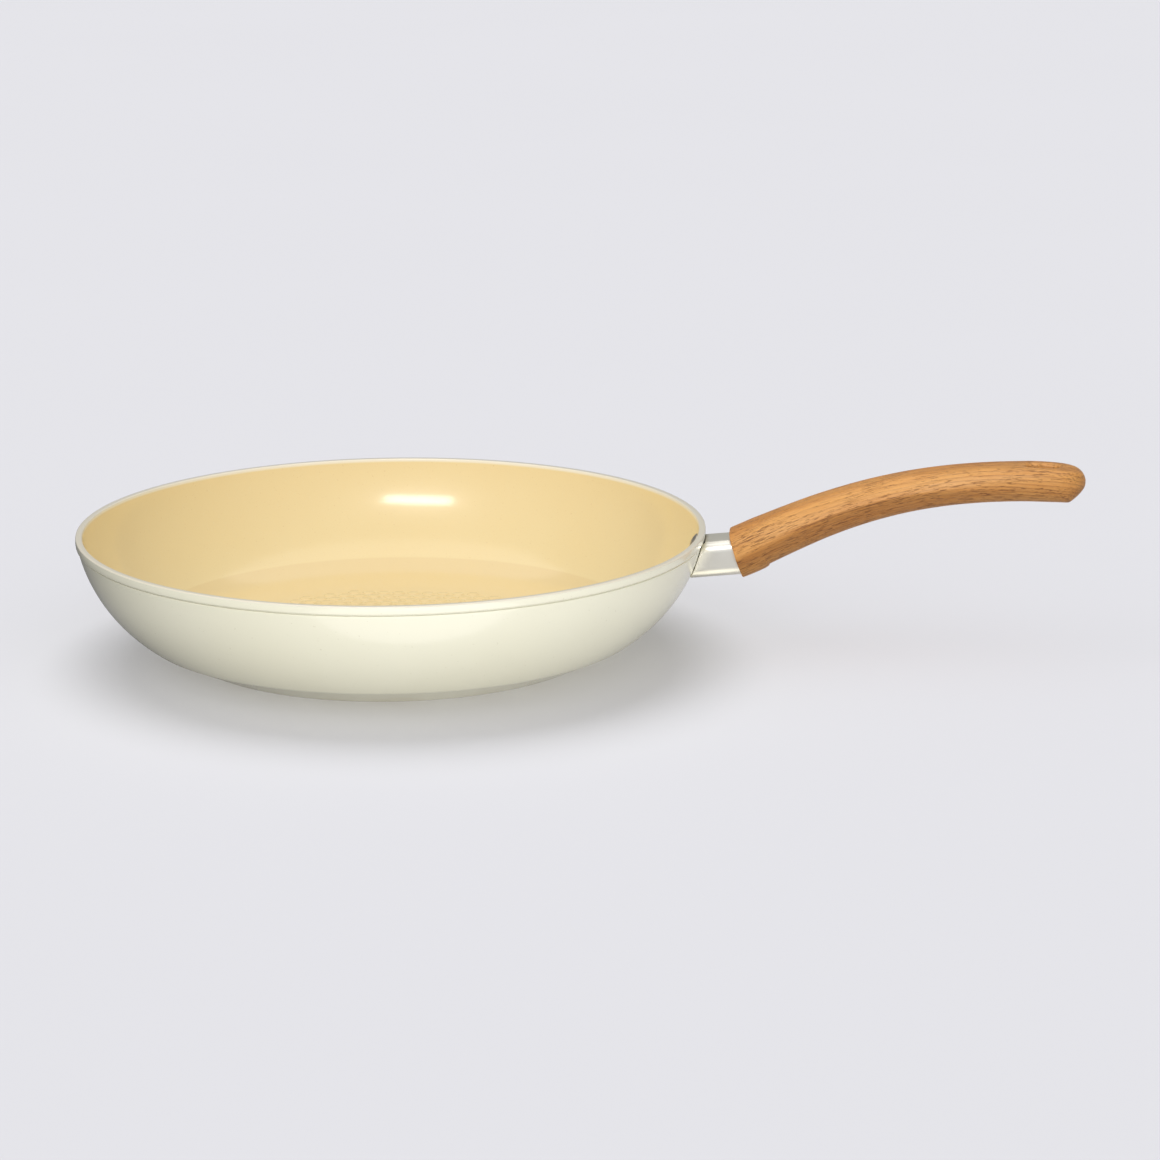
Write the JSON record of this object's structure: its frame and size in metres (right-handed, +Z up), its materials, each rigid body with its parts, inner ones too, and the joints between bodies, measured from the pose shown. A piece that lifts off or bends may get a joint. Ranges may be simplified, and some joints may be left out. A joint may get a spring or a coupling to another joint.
{
  "type": "frying pan",
  "caption": "Shallow round frying pan with a ceramic-lined flared wall, a metal sleeve and a curved wood-grain grip with a hanging hole.",
  "frame": {"origin": "centre of the underside of the base, where the pan stands", "axes": "+X towards the tip of the handle, +Z up out of the pan, +Y to the left of the handle"},
  "size_m": [0.4466, 0.28, 0.0868],
  "materials": {
    "outer_enamel": "glossy cream enamel",
    "ceramic_coat": "smooth cream-yellow ceramic non-stick",
    "plate_steel": "turned stainless steel",
    "rivet_metal": "satin",
    "polished_sleeve": "polished",
    "bracket_steel": "plain pressed steel",
    "grip_wood": "oiled warm brown wood grain",
    "fastener_steel": "zinc plated"
  },
  "bodies": {
    "root": {"pan_body": "outer_enamel", "ceramic_lining": "ceramic_coat", "induction_plate": "plate_steel", "rivet_left": "rivet_metal", "rivet_right": "rivet_metal", "flame_guard": "polished_sleeve", "handle_bracket": "bracket_steel", "grip": "grip_wood", "grip_screw": "fastener_steel", "spring_washer": "fastener_steel", "weld_nut": "fastener_steel"}
  },
  "joints": []
}
